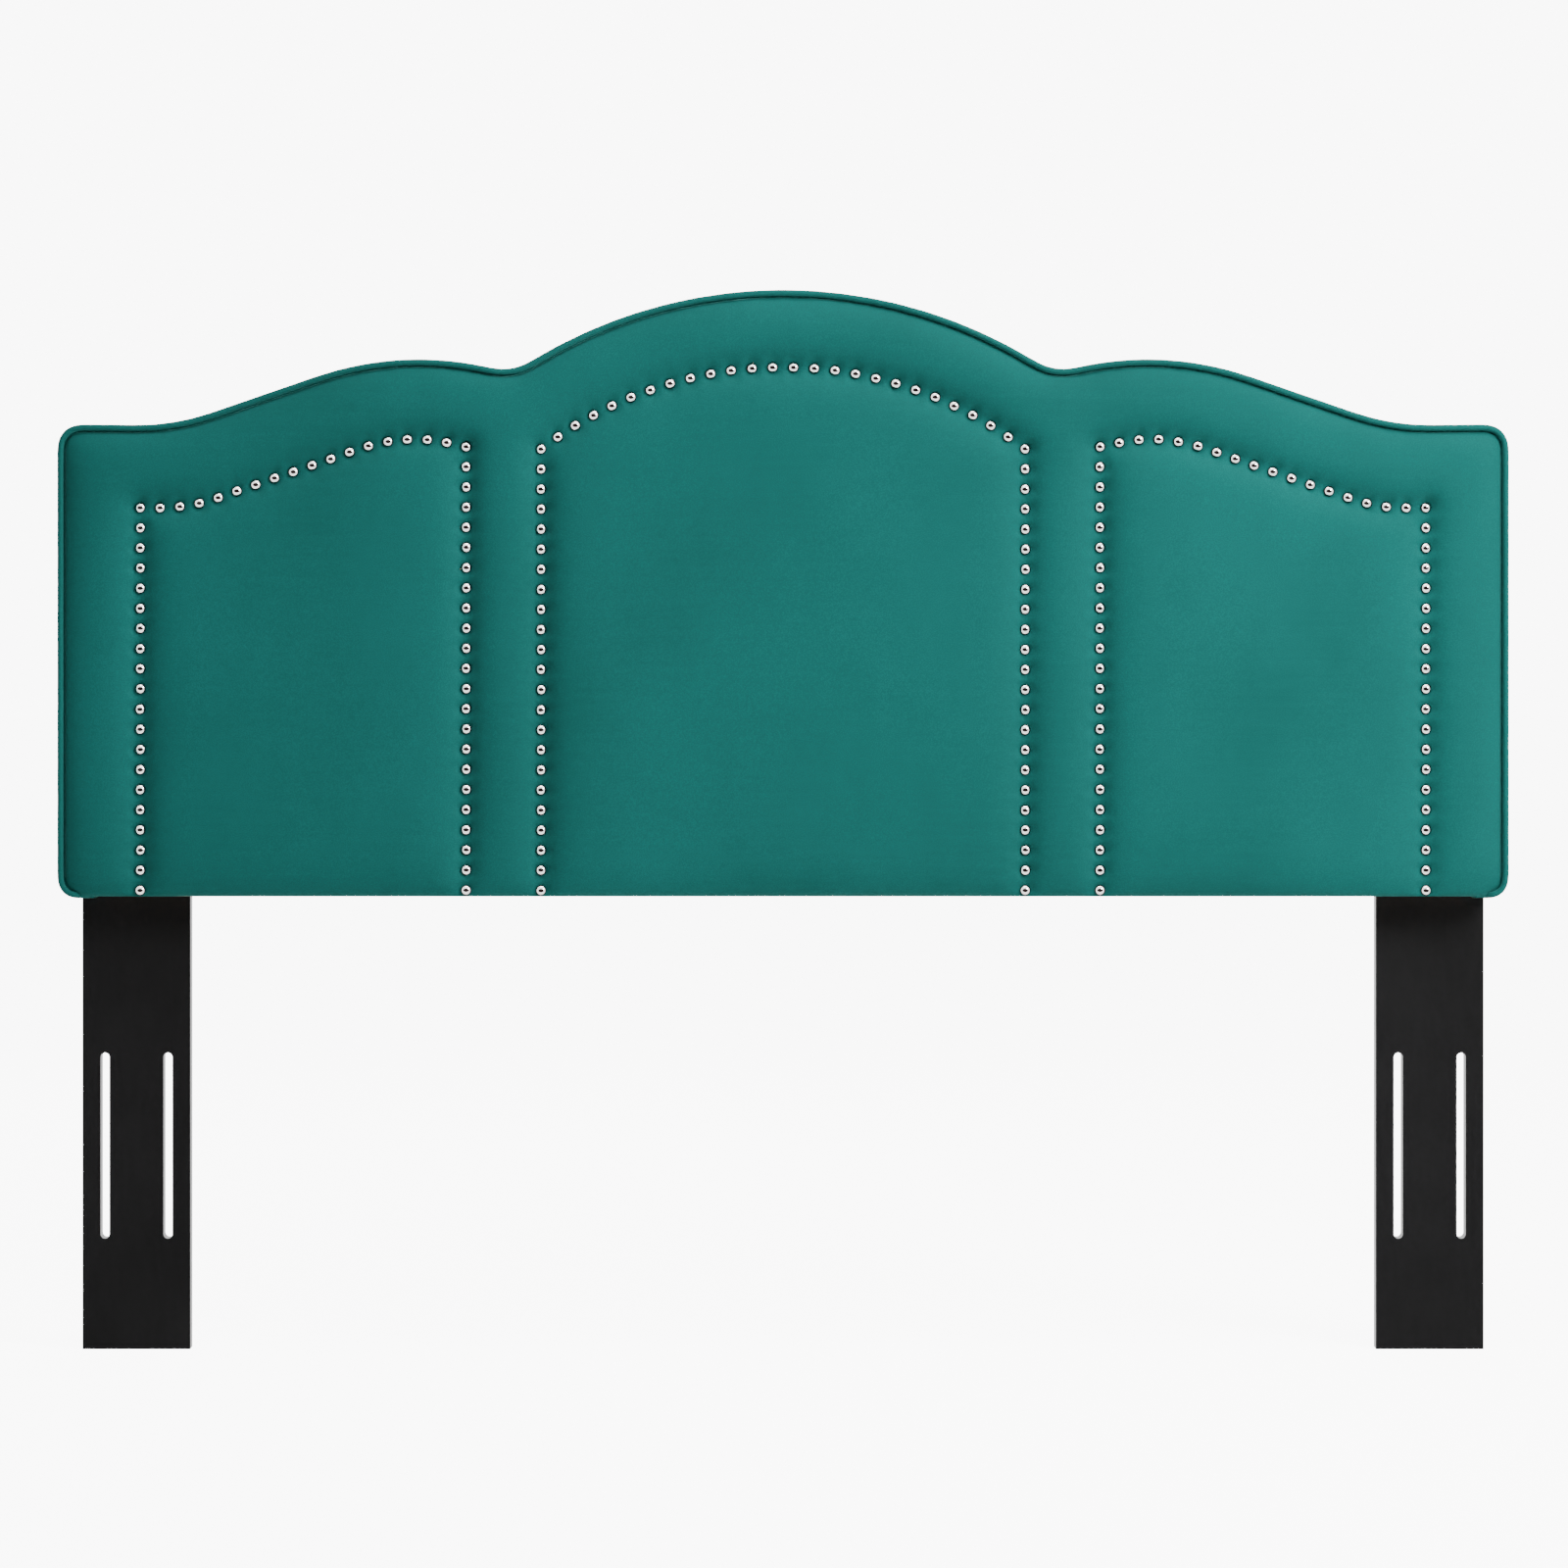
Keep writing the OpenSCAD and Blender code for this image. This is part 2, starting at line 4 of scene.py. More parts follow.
import bmesh
import bpy
import numpy as np
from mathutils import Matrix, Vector


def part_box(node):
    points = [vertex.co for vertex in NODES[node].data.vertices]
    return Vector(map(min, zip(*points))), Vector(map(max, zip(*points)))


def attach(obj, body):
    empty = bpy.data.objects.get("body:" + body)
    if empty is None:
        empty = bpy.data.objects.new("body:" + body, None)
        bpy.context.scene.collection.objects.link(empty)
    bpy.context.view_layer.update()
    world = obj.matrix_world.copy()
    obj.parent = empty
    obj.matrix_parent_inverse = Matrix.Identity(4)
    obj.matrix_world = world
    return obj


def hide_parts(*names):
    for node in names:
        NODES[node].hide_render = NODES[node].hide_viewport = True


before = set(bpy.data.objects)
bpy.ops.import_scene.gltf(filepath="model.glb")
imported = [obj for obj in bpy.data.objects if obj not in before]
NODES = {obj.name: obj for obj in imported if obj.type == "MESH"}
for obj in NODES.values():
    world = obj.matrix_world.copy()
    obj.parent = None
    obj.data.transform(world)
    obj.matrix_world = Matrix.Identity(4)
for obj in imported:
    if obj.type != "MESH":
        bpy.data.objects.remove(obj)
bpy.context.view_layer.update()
MM = 0.001

# ---- Places that the CAD frame gives ----

BOARD_LO, BOARD_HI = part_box("face_board")
PIPING_LO, PIPING_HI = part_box("piping_cover")
DUST_LO, DUST_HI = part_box("dust_cover")
FRONT_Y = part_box("front_cover")[0].y      # the foremost plane of the padded face
PIPING_R = (PIPING_HI.y - PIPING_LO.y) / 2
SEAM_Y = (PIPING_HI.y + PIPING_LO.y) / 2  # the piping's middle line
BACK_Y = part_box("boxing_band")[1].y       # the back of the panel
BOARD_GAP = PIPING_HI.x - BOARD_HI.x      # from the outline in to the face board

# ---- The camera ----

SENSOR = 36.0
VIEW_DISTANCE = 6.0
EYE_X = 0.001
EYE_Z = 0.8474
FRAME_W = 1.7286                          # width of the view at the piping
DROP = 0.125                              # how far the view is shifted down, in frame widths


def make_camera():
    data = bpy.data.cameras.new("camera")
    data.sensor_width = SENSOR
    data.lens = SENSOR * VIEW_DISTANCE / FRAME_W
    data.shift_y = -DROP
    camera = bpy.data.objects.new("camera", data)
    camera.location = (EYE_X, SEAM_Y - VIEW_DISTANCE, EYE_Z)
    camera.rotation_euler = (math.radians(90), 0, 0)
    bpy.context.collection.objects.link(camera)
    bpy.context.scene.camera = camera


make_camera()

# ---- Node materials ----


def new_material(name):
    material = bpy.data.materials.new(name)
    material.use_nodes = True
    tree = material.node_tree
    shader = tree.nodes["Principled BSDF"]
    return material, tree, shader


def add(tree, kind, **settings):
    """A new node. A setting with a capital is an input's value, any other is a property."""
    node = tree.nodes.new(kind)
    for key, value in settings.items():
        if key[0].isupper():
            node.inputs[key].default_value = value
        else:
            setattr(node, key, value)
    return node


def grey(value):
    return (value, value, value)


def scaled(colour, factor):
    return tuple(factor * c for c in colour)


def object_coords(tree, stretch=(1, 1, 1)):
    """The piece's own coordinates, each axis multiplied by its stretch."""
    coords = add(tree, "ShaderNodeTexCoord")
    mapping = add(tree, "ShaderNodeMapping")
    mapping.inputs["Scale"].default_value = stretch
    tree.links.new(coords.outputs["Object"], mapping.inputs["Vector"])
    return mapping.outputs["Vector"]


def noise(tree, vector, scale, detail=2.0, roughness=0.5):
    node = add(tree, "ShaderNodeTexNoise", Scale=scale, Detail=detail, Roughness=roughness)
    tree.links.new(vector, node.inputs["Vector"])
    return node.outputs["Fac"]


def ramp(tree, factor, stops):
    """A colour ramp: stops is a list of (place, colour)."""
    node = add(tree, "ShaderNodeValToRGB")
    elements = node.color_ramp.elements
    while len(elements) < len(stops):
        elements.new(0.5)
    for element, (place, colour) in zip(elements, stops):
        element.position = place
        element.color = (*colour, 1)
    tree.links.new(factor, node.inputs["Fac"])
    return node.outputs["Color"]


def blend_colours(tree, factor, first, second, mode="MIX"):
    node = add(tree, "ShaderNodeMix", data_type="RGBA", blend_type=mode)
    for socket, value in ((node.inputs[0], factor), (node.inputs[6], first), (node.inputs[7], second)):
        if isinstance(value, bpy.types.NodeSocket):
            tree.links.new(value, socket)
        else:
            socket.default_value = value
    return node.outputs[2]


def bump(tree, shader, heights):
    """Chains bump nodes: heights is a list of (socket, strength, distance)."""
    last = None
    for height, strength, distance in heights:
        node = add(tree, "ShaderNodeBump", Strength=strength, Distance=distance)
        tree.links.new(height, node.inputs["Height"])
        if last:
            tree.links.new(last, node.inputs["Normal"])
        last = node.outputs["Normal"]
    tree.links.new(last, shader.inputs["Normal"])


def velvet(name, deep, light, sheen):
    """Short pile: patches of brushed pile, a fine grain, and a bright edge at grazing angles."""
    material, tree, shader = new_material(name)
    near = object_coords(tree)
    patches = noise(tree, object_coords(tree, (1.0, 1.0, 0.6)), 5.0, 3.0)
    strokes = noise(tree, object_coords(tree, (0.06, 1.0, 1.0)), 170.0, 3.0, 0.6)
    grain = noise(tree, near, 900.0, 2.0, 0.7)
    base = ramp(tree, patches, [(0.32, deep), (0.68, light)])
    stroked = ramp(tree, strokes, [(0.35, grey(0)), (0.75, grey(0.35))])
    brushed = blend_colours(tree, stroked, base, (*light, 1))
    flecks = ramp(tree, grain, [(0.45, grey(0.45)), (0.6, grey(0))])
    speckled = blend_colours(tree, flecks, brushed, (*scaled(deep, 0.72), 1))
    tree.links.new(speckled, shader.inputs["Base Color"])
    shader.inputs["Roughness"].default_value = 0.82
    shader.inputs["Specular IOR Level"].default_value = 0.18
    shader.inputs["Sheen Weight"].default_value = sheen
    shader.inputs["Sheen Roughness"].default_value = 0.42
    shader.inputs["Sheen Tint"].default_value = (0.35, 0.95, 0.88, 1)
    bump(tree, shader, [(strokes, 0.10, 0.0012), (grain, 0.35, 0.0004)])
    return material


def lacquer(name, colour):
    """Satin black lacquer over wood: open grain just felt through it, and faint paler patches."""
    material, tree, shader = new_material(name)
    grain = noise(tree, object_coords(tree, (14.0, 14.0, 1.0)), 18.0, 6.0, 0.6)
    patches = noise(tree, object_coords(tree), 7.0, 3.0)
    base = ramp(tree, patches, [(0.3, colour), (0.75, scaled(colour, 1.5))])
    satin = ramp(tree, grain, [(0.3, grey(0.30)), (0.8, grey(0.38))])
    tree.links.new(base, shader.inputs["Base Color"])
    tree.links.new(satin, shader.inputs["Roughness"])
    shader.inputs["Specular IOR Level"].default_value = 0.4
    bump(tree, shader, [(grain, 0.18, 0.0006)])
    return material


def timber(name, pale, dark, along, roughness=0.78):
    """Raw wood: fine fibres and broad bands, both drawn out along one axis (0, 1 or 2)."""
    material, tree, shader = new_material(name)
    stretch = [22.0, 22.0, 22.0]
    stretch[along] = 1.2
    vector = object_coords(tree, tuple(stretch))
    fibres = noise(tree, vector, 9.0, 8.0, 0.65)
    broad = noise(tree, vector, 1.6, 3.0, 0.5)
    base = ramp(tree, broad, [(0.35, dark), (0.62, pale)])
    streaks = ramp(tree, fibres, [(0.4, grey(0.5)), (0.65, grey(0))])
    streaked = blend_colours(tree, streaks, base, (*scaled(dark, 0.75), 1))
    tree.links.new(streaked, shader.inputs["Base Color"])
    shader.inputs["Roughness"].default_value = roughness
    bump(tree, shader, [(fibres, 0.35, 0.0006)])
    return material


def foam_like(name, colour, scale, depth):
    """A dull open surface: small cells in relief, and faint broad blotches."""
    material, tree, shader = new_material(name)
    cells = add(tree, "ShaderNodeTexVoronoi", Scale=scale)
    tree.links.new(object_coords(tree), cells.inputs["Vector"])
    blotches = noise(tree, object_coords(tree), 12.0, 3.0)
    base = ramp(tree, blotches, [(0.3, scaled(colour, 0.86)), (0.7, colour)])
    tree.links.new(base, shader.inputs["Base Color"])
    shader.inputs["Roughness"].default_value = 0.95
    bump(tree, shader, [(cells.outputs["Distance"], 0.6, depth)])
    return material


def metal(name, colour, roughness, scratches):
    """Plated metal: faint cloudy patches, and scratches that make it rougher by up to so much."""
    material, tree, shader = new_material(name)
    cloud = noise(tree, object_coords(tree), 160.0, 4.0, 0.6)
    fine = noise(tree, object_coords(tree, (1, 1, 8)), 900.0, 2.0)
    base = ramp(tree, cloud, [(0.3, scaled(colour, 0.86)), (0.65, colour)])
    finish = ramp(tree, fine, [(0.3, grey(roughness)), (0.8, grey(roughness + scratches))])
    tree.links.new(base, shader.inputs["Base Color"])
    tree.links.new(finish, shader.inputs["Roughness"])
    shader.inputs["Metallic"].default_value = 1.0
    bump(tree, shader, [(cloud, 0.05, 0.0003)])
    return material


def nonwoven(name, colour):
    """Black spun-bonded cloth: matted fibres and a grid of small weld points."""
    material, tree, shader = new_material(name)
    fibres = noise(tree, object_coords(tree), 420.0, 6.0, 0.7)
    welds = add(tree, "ShaderNodeTexVoronoi", Scale=420.0, Randomness=0.15)
    tree.links.new(object_coords(tree), welds.inputs["Vector"])
    base = ramp(tree, fibres, [(0.35, colour), (0.75, scaled(colour, 2.4))])
    tree.links.new(base, shader.inputs["Base Color"])
    shader.inputs["Roughness"].default_value = 0.9
    bump(tree, shader, [(fibres, 0.4, 0.0004), (welds.outputs["Distance"], 0.3, 0.0003)])
    return material


TEAL_DEEP = (0.0020, 0.118, 0.104)
TEAL_LIGHT = (0.0042, 0.160, 0.143)
MATERIALS = {
    "velvet": velvet("velvet", TEAL_DEEP, TEAL_LIGHT, 0.30),
    "leg_paint": lacquer("black_lacquer", (0.0100, 0.0100, 0.0105)),
    "plywood": timber("plywood", (0.62, 0.44, 0.26), (0.47, 0.31, 0.17), 0, 0.7),
    "pine_across": timber("pine_across", (0.70, 0.50, 0.29), (0.52, 0.34, 0.18), 0),
    "pine_upright": timber("pine_upright", (0.68, 0.48, 0.28), (0.50, 0.33, 0.17), 2),
    "foam": foam_like("foam", (0.85, 0.77, 0.50), 900.0, 0.0008),
    "cord": foam_like("cotton_cord", (0.80, 0.76, 0.66), 600.0, 0.0006),
    "nail_nickel": metal("polished_nickel", (0.92, 0.90, 0.88), 0.07, 0.05),
    # Painted shade: the near-black rim material stands in for the dark shadow ring round each nail head.
    "painted_shade_rim": metal("nickel_rim_painted_shade", (0.012, 0.011, 0.010), 0.32, 0.1),
    "staple_wire": metal("galvanised_wire", (0.62, 0.62, 0.63), 0.3, 0.15),
    "zinc_steel": metal("zinc_steel", (0.60, 0.61, 0.63), 0.28, 0.14),
    "yellow_zinc": metal("yellow_zinc", (0.74, 0.60, 0.30), 0.3, 0.14),
    "dust_cloth": nonwoven("dust_cloth", (0.012, 0.012, 0.013)),
}

# ---- Meshes ----


def new_piece(name, verts, faces, slot):
    """A smooth mesh object in the material of its slot."""
    mesh = bpy.data.meshes.new(name)
    mesh.from_pydata([tuple(v) for v in verts], [], faces)
    mesh.validate()
    piece = bpy.data.objects.new(name, mesh)
    bpy.context.collection.objects.link(piece)
    mesh.materials.append(MATERIALS[slot])
    mesh.polygons.foreach_set("use_smooth", [True] * len(mesh.polygons))
    return piece


def grid_faces(rows, columns, closed=False, flip=False):
    """Quads of a sheet of rows x columns points, numbered row by row, or of a closed tube."""
    r = np.arange(rows - 1)
    c = np.arange(columns if closed else columns - 1)
    r, c = np.meshgrid(r, c, indexing="ij")
    r2, c2 = r + 1, (c + 1) % columns
    quads = np.stack([r * columns + c, r * columns + c2, r2 * columns + c2, r2 * columns + c], -1)
    quads = quads.reshape(-1, 4)
    return (quads[:, ::-1] if flip else quads).tolist()


def thickened(piece, thickness, offset):
    shell = piece.modifiers.new("thickness", "SOLIDIFY")
    shell.thickness = thickness
    shell.offset = offset


def face_outward(piece):
    work = bmesh.new()
    work.from_mesh(piece.data)
    bmesh.ops.recalc_face_normals(work, faces=work.faces)
    work.to_mesh(piece.data)
    work.free()


def welded_copy(node):
    """A bmesh copy of a CAD node with its split corners welded."""
    work = bmesh.new()
    work.from_mesh(NODES[node].data)
    bmesh.ops.remove_doubles(work, verts=work.verts, dist=0.00002)
    return work


def front_loop(node):
    """The outer edge of a CAD slab's front face, in order, as an array of (x, z)."""
    work = welded_copy(node)
    front = min(v.co.y for v in work.verts)
    follow = {}
    for edge in work.edges:
        a, b = edge.verts
        if max(a.co.y, b.co.y) > front + 1e-5 or len(edge.link_faces) != 2:
            continue
        if min(abs(f.normal.y) for f in edge.link_faces) < 0.5:
            follow.setdefault(a.index, []).append(b.index)
            follow.setdefault(b.index, []).append(a.index)
    work.verts.ensure_lookup_table()
    loops = []
    while follow:
        here = next(iter(follow))
        walk = []
        while here in follow:
            walk.append(here)
            onward = follow.pop(here)
            here = next((i for i in onward if i in follow), None)
        loops.append(np.array([(work.verts[i].co.x, work.verts[i].co.z) for i in walk]))
    work.free()
    points = max(loops, key=lambda loop: np.ptp(loop[:, 0]))
    x, z = points[:, 0], points[:, 1]
    if np.sum(x * np.roll(z, -1) - z * np.roll(x, -1)) < 0:
        points = points[::-1]
    return points


def resampled(points, step, closed=True):
    """The same line with its points evenly spaced, about a step apart."""
    ends = np.vstack([points, points[:1]]) if closed else points
    lengths = np.concatenate([[0], np.cumsum(np.linalg.norm(np.diff(ends, axis=0), axis=1))])
    count = int(round(lengths[-1] / step))
    places = np.linspace(0, lengths[-1], count, endpoint=not closed)
    return np.stack([np.interp(places, lengths, ends[:, i]) for i in (0, 1)], -1)


def softened(points, passes):
    """A closed loop with each point drawn towards its two neighbours."""
    for _ in range(passes):
        points = 0.5 * points + 0.25 * (np.roll(points, 1, 0) + np.roll(points, -1, 0))
    return points


def outward(points, closed=True):
    """Unit normals of an anticlockwise loop, pointing out of it."""
    if closed:
        along = np.roll(points, -1, 0) - np.roll(points, 1, 0)
    else:
        along = np.gradient(points, axis=0)
    along /= np.linalg.norm(along, axis=1)[:, None]
    return np.stack([along[:, 1], -along[:, 0]], -1)


BOARD_LOOP = softened(resampled(front_loop("face_board"), 4 * MM), 4)
OUTLINE = BOARD_LOOP + BOARD_GAP * outward(BOARD_LOOP)     # the panel's, seen from the front
SEARCH = 60 * MM                          # how far from a loop the distance to it matters


def segment_distance(points, loop):
    """Distance of each point from a closed loop, right for those within SEARCH of it."""
    best = np.full(len(points), 1e9)
    for a, b in zip(loop, np.roll(loop, -1, 0)):
        near = np.all((points > np.minimum(a, b) - SEARCH) & (points < np.maximum(a, b) + SEARCH), 1)
        chosen = points[near]
        if not len(chosen):
            continue
        span = b - a
        t = np.clip((chosen - a) @ span / (span @ span), 0, 1)
        gap = np.linalg.norm(chosen - a - t[:, None] * span, axis=1)
        best[near] = np.minimum(best[near], gap)
    return best


def crossings(loop, x):
    """Lowest and highest height of a closed loop at each x."""
    a, b = loop, np.roll(loop, -1, 0)
    low, high = np.full(len(x), 1e9), np.full(len(x), -1e9)
    for p, q in zip(a, b):
        if p[0] == q[0]:
            continue
        inside = (x >= min(p[0], q[0])) & (x <= max(p[0], q[0]))
        z = p[1] + (x[inside] - p[0]) * (q[1] - p[1]) / (q[0] - p[0])
        low[inside] = np.minimum(low[inside], z)
        high[inside] = np.maximum(high[inside], z)
    return low, high


# ---- Nails: their places come from the CAD nails, one loose part each ----

NAIL_NODES = sorted(n for n in NODES if n.startswith("nails_"))


def loose_parts(node):
    """The points of each separate solid in a CAD node, one array per solid."""
    work = welded_copy(node)
    seen, parts = set(), []
    for vert in work.verts:
        if vert in seen:
            continue
        stack, part = [vert], []
        seen.add(vert)
        while stack:
            here = stack.pop()
            part.append(here.co.copy())
            for edge in here.link_edges:
                other = edge.other_vert(here)
                if other not in seen:
                    seen.add(other)
                    stack.append(other)
        parts.append(np.array(part))
    work.free()
    return parts


class Nail:
    """A nail's middle, the radius of its head, and the depths of its crown and its tip."""

    def __init__(self, part):
        low, high = part.min(0), part.max(0)
        self.x, self.z = (low[0] + high[0]) / 2, (low[2] + high[2]) / 2
        self.radius = (high[0] - low[0]) / 2
        self.top = low[1]
        self.tip = high[1]


NAILS = {node: [Nail(p) for p in loose_parts(node)] for node in NAIL_NODES}
ALL_NAILS = [nail for node in NAIL_NODES for nail in NAILS[node]]
NAIL_R = ALL_NAILS[0].radius
DOME = 3.8 * MM                           # the height of a nail's head
CROWN_SHARE = 0.83                        # how much of the head's radius is polished dome
# The dark rim past this slope is painted shade, not a finish that the nails have.
CROWN_SLOPE = math.radians(41)            # the dome's slope where the dark rim begins
SHANK_R = 0.9 * MM
NAIL_TILT = 0.03                          # spread of the tilt of hand-set nails
NAIL_SIDES = 20
PIN_Y = ALL_NAILS[0].top + DOME           # where the heads hold the velvet down


def nail_profile(nail):
    """(radius, y) down a nail: a shallow polished dome, a steep skirt, a rolled rim, a shank."""
    sphere = CROWN_SHARE * nail.radius / math.sin(CROWN_SLOPE)
    dome = [(sphere * math.sin(a), nail.top + sphere * (1 - math.cos(a)))
            for a in np.linspace(0.0, CROWN_SLOPE, 9)[1:]]
    skirt = nail.top + sphere * (1 - math.cos(CROWN_SLOPE))
    seat = nail.top + DOME
    return dome + [
        (nail.radius * 0.86, skirt + 0.12 * MM),
        (nail.radius * 0.95, skirt + 0.6 * MM),
        (nail.radius * 1.04, skirt + 1.2 * MM),
        (nail.radius * 1.06, seat - 0.3 * MM),
        (nail.radius * 1.0, seat + 0.1 * MM),
        (nail.radius * 0.84, seat - 0.2 * MM),
        (SHANK_R * 1.6, seat - 0.5 * DOME),
        (SHANK_R, seat - 0.3 * DOME),
        (SHANK_R, nail.tip - 3 * MM),
    ]


def paint_shade_on_rims(piece, nails):
    """Gives the near-black rim material to every face that lies outside its nail's polished dome: painted
    shade, standing in for the dark shadow ring round each nail head.
    """
    piece.data.materials.append(MATERIALS["painted_shade_rim"])
    places = np.array([(nail.x, nail.z) for nail in nails])
    edge = NAIL_R * (CROWN_SHARE + 0.005)
    for face in piece.data.polygons:
        gap = np.hypot(places[:, 0] - face.center.x, places[:, 1] - face.center.z).min()
        face.material_index = 0 if gap < edge else 1


def nail_piece(node):
    """All the nails of one row, each tilted a little, as hand-set nails are."""
    verts, faces = [], []
    sides = NAIL_SIDES
    for nail in NAILS[node]:
        profile = nail_profile(nail)
        tilt = RNG.normal(0, NAIL_TILT, 2)
        first = len(verts)
        for radius, y in profile:
            for k in range(sides):
                a = 2 * math.pi * k / sides
                dx, dz = radius * math.cos(a), radius * math.sin(a)
                verts.append((nail.x + dx, y + tilt[0] * dx + tilt[1] * dz, nail.z + dz))
        for ring in range(len(profile) - 1):
            for k in range(sides):
                a, b = first + ring * sides + k, first + ring * sides + (k + 1) % sides
                faces.append((a, b, b + sides, a + sides))
        for ring, y in ((0, nail.top), (len(profile) - 1, nail.tip)):
            verts.append((nail.x, y, nail.z))
            for k in range(sides):
                a, b = first + ring * sides + k, first + ring * sides + (k + 1) % sides
                faces.append((a, len(verts) - 1, b) if ring == 0 else (a, b, len(verts) - 1))
    piece = new_piece(node.replace("nails_", "nail_row_"), verts, faces, "nail_nickel")
    # Painted shade: the rims are made near-black to stand in for the shadow ring round each head.
    paint_shade_on_rims(piece, NAILS[node])
    face_outward(piece)
    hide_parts(node)
    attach(piece, "headboard")


RNG = np.random.default_rng(7)
for node in NAIL_NODES:
    nail_piece(node)

# ---- The padded face: velvet held down at its seam and under each nail, pushed out by foam ----

STEP = 3 * MM                             # the spacing of the solver's grid
PASSES = 900
REACH = 15 * MM                           # how far a pin's pull spreads before the foam wins
CROWN = 2.0 * MM                          # how far the velvet swells past the CAD cover's front
PIN_MARGIN = 2.2 * MM                     # how far round a nail the velvet lies pressed down
PIN_DEPTH = 1.3 * MM                      # how far it is pressed in below the nail's head
SEAM_INSET = 2 * PIPING_R + 1.5 * MM      # from the outline in to the face's edge
GROOVE_Y = SEAM_Y + 0.9 * PIPING_R        # the face's edge, deep beside the piping
TUCK = 3.0 * MM                           # how wide the groove's slope is
BARE_EDGE = 2.5 * MM                      # the bottom edge, with no piping, over the panel's foot
CORNER = 14 * MM                          # from the outline's sides to where the bare edge starts
CORNER_EASE = 16 * MM


def face_outline(inset):
    """The outline of the face: inside the piping, but almost down to the panel's foot."""
    loop = OUTLINE - inset * outward(OUTLINE)
    foot = OUTLINE[:, 1].min()
    middle = np.clip((OUTLINE[:, 0].max() - CORNER - np.abs(loop[:, 0])) / CORNER_EASE, 0, 1)
    near = np.clip(1 - (loop[:, 1] - foot - inset) / (4 * MM), 0, 1)
    loop[:, 1] -= (inset - BARE_EDGE) * near * middle * middle * (3 - 2 * middle)
    return loop


def relaxed_face():
    """Heights of the velvet on a square grid: a stretched skin on springy foam, solved by
    repeated averaging, with the seam and the nails as pins."""
    x = np.arange(PIPING_LO.x - 2 * STEP, PIPING_HI.x + 2 * STEP, STEP)
    z = np.arange(PIPING_LO.z - 2 * STEP, PIPING_HI.z + 2 * STEP, STEP)
    gx, gz = np.meshgrid(x, z)
    seam = face_outline(SEAM_INSET)
    low, high = crossings(seam, x)
    side = (gx > seam[:, 0].min()) & (gx < seam[:, 0].max())
    inside = side & (gz > low[None, :]) & (gz < high[None, :])
    free = inside.copy()
    rest = np.full(gx.shape, FRONT_Y - CROWN)
    height = np.where(inside, rest, GROOVE_Y)
    for nail in ALL_NAILS:
        under = (gx - nail.x) ** 2 + (gz - nail.z) ** 2 < (nail.radius + PIN_MARGIN) ** 2
        free &= ~under
        height[under] = PIN_Y + PIN_DEPTH
    broad = np.sin(7.3 * gx + 1.0) * np.sin(9.1 * gz + 0.4)
    rest = rest + 0.7 * MM * (broad + 0.6 * np.sin(17.0 * gx + 5.0 * gz))
    pull = (STEP / REACH) ** 2
    for _ in range(PASSES):
        around = np.zeros_like(height)
        around[1:-1, 1:-1] = (height[:-2, 1:-1] + height[2:, 1:-1] + height[1:-1, :-2] + height[1:-1, 2:])
        height = np.where(free, (around + pull * rest) / (4 + pull), height)
    return x, z, height


def sampled(x, z, heights, px, pz):
    """Heights at any places, by bilinear steps between the grid's points."""
    i = np.clip((px - x[0]) / STEP, 0, len(x) - 1.001)
    j = np.clip((pz - z[0]) / STEP, 0, len(z) - 1.001)
    i0, j0 = i.astype(int), j.astype(int)
    fi, fj = i - i0, j - j0
    return ((heights[j0, i0] * (1 - fi) + heights[j0, i0 + 1] * fi) * (1 - fj)
            + (heights[j0 + 1, i0] * (1 - fi) + heights[j0 + 1, i0 + 1] * fi) * fj)


def eased(count, fine, coarse):
    """Places from 0 to 1, closer together at both ends: fine to coarse is the ratio of spacings."""
    t = np.linspace(0, 1, count)
    end = fine / coarse
    weight = end + (1 - end) * np.minimum(1, np.minimum(t, 1 - t) * 12)
    places = np.concatenate([[0], np.cumsum((weight[1:] + weight[:-1]) / 2)])
    return places / places[-1]


def columns_inside(loop, margin, across, down):
    """A grid of places filling a closed loop: x of the columns, and x and z of every place.
    across and down are what eased() takes."""
    xs = loop[:, 0].min() + margin + (np.ptp(loop[:, 0]) - 2 * margin) * eased(*across)
    low, high = crossings(loop, xs)
    v = eased(*down)
    return xs, np.tile(xs, (len(v), 1)), low[None, :] + v[:, None] * (high - low)[None, :]


def loop_distance(px, pz, loop):
    return segment_distance(np.stack([px.ravel(), pz.ravel()], -1), loop).reshape(px.shape)


def velvet_face():
    """The velvet face as columns from the bottom edge to the top seam, with its hem below."""
    seam = face_outline(SEAM_INSET)
    xs, px, pz = columns_inside(seam, 0.2 * MM, (440, 1.0, 4.0), (190, 1.0, 4.0))
    py = sampled(*FACE, px, pz)
    tuck = np.clip(1 - loop_distance(px, pz, seam) / TUCK, 0, 1)
    py = py + (GROOVE_Y - py) * tuck ** 2
    hem = []
    for back, up in ((BACK_Y, 20 * MM), (BACK_Y, 6 * MM), (BACK_Y - 0.6 * MM, 1.0 * MM),
                     (BACK_Y - 3 * MM, 0.2 * MM), (BACK_Y - 22 * MM, 0), (BACK_Y - 42 * MM, 0),
                     (SEAM_Y + 9 * MM, -0.6 * MM), (SEAM_Y + 5.0 * MM, -0.3 * MM)):
        hem.append(np.stack([xs, np.full(len(xs), back), pz[0] + up], -1)[None])
    verts = np.concatenate(hem + [np.stack([px, py, pz], -1)])
    faces = grid_faces(len(verts), len(xs))
    piece = new_piece("velvet_face", verts.reshape(-1, 3), faces, "velvet")
    thickened(piece, 1.0 * MM, -1.0)
    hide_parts("front_cover")
    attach(piece, "headboard")


FACE = relaxed_face()
velvet_face()


